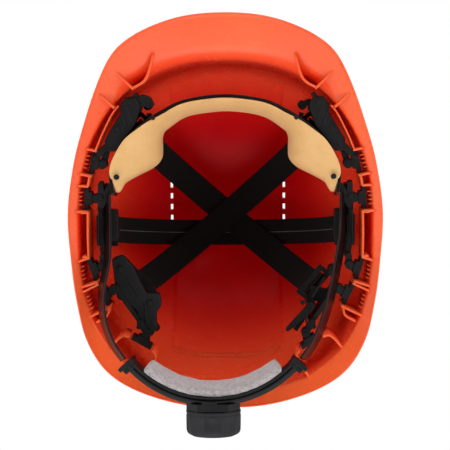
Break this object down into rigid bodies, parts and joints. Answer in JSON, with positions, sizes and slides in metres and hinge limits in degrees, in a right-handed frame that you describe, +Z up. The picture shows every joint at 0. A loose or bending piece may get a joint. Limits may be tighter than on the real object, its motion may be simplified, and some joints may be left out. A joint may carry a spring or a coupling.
{
  "type": "forestry helmet",
  "caption": "Forestry safety helmet with a peaked dome shell, strap suspension on clip-in brackets, leather sweatband and a knob-adjusted nape cradle.",
  "frame": {"origin": "on the surface the helmet stands on, in the middle of its overall length and width", "axes": "+Z up through the crown, -Y towards the peak, +Y towards the size knob, +X towards the right of someone looking up into the shell with the peak ahead"},
  "size_m": [0.2268, 0.2998, 0.1633],
  "materials": {
    "shell_plastic": "semi-gloss injection-moulded safety orange",
    "black_plastic": "fine satin moulding",
    "band_plastic": "flexible semi-gloss",
    "knob_plastic": "fine spark-eroded texture",
    "webbing": "flat woven polyester, grey stitching on the cross strap",
    "leather": "smooth tan split leather",
    "felt": "grey needled fleece",
    "screw_steel": "plain zinc"
  },
  "bodies": {
    "helmet": {"shell": "shell_plastic", "front_bracket_left": "black_plastic", "front_bracket_right": "black_plastic", "side_bracket_left": "black_plastic", "side_bracket_right": "black_plastic", "rear_bracket_left": "black_plastic", "rear_bracket_right": "black_plastic", "crown_strap_lower": "webbing", "crown_strap_upper": "webbing", "crown_strap_cross": "webbing", "headband": "band_plastic", "headband_hangers": "black_plastic", "headband_arm_left": "band_plastic", "headband_arm_right": "band_plastic", "sweatband": "leather", "sweatband_studs": "black_plastic"},
    "cradle": {"nape_cradle": "black_plastic", "nape_cover_left": "black_plastic", "nape_cover_right": "black_plastic", "nape_pad": "felt", "gear_housing": "black_plastic", "ratchet_ring": "black_plastic"},
    "left_rack": {"rack_left": "black_plastic"},
    "right_rack": {"rack_right": "black_plastic"},
    "knob": {"adjuster_knob": "knob_plastic", "pinion": "black_plastic", "ratchet_spring": "black_plastic", "knob_screw": "screw_steel"}
  },
  "joints": [
    {"name": "cradle_slide", "type": "slide", "parent": "helmet", "child": "cradle", "axis": [0, -1, 0], "range_m": [-0.003, 0.024], "deforming": ["headband_arm_left", "headband_arm_right"]},
    {"name": "left_rack_feed", "type": "hinge", "parent": "cradle", "child": "left_rack", "pos_m": [-0.0089, 0.0454, 0.0205], "axis": [0, 0, -1], "range_deg": [-3, 19]},
    {"name": "right_rack_feed", "type": "hinge", "parent": "cradle", "child": "right_rack", "pos_m": [-0.0089, 0.0454, 0.0205], "axis": [0, 0, 1], "range_deg": [-3, 19]},
    {"name": "knob_turn", "type": "hinge", "parent": "cradle", "child": "knob", "pos_m": [-0.0089, 0.14, 0.0205], "axis": [0, 1, 0], "range_deg": [-40, 280]}
  ],
  "couplings": [
    {"joint": "left_rack_feed", "follows": "cradle_slide", "rad_per_m": 12.626},
    {"joint": "right_rack_feed", "follows": "cradle_slide", "rad_per_m": 12.626},
    {"joint": "knob_turn", "follows": "cradle_slide", "rad_per_m": 200}
  ]
}
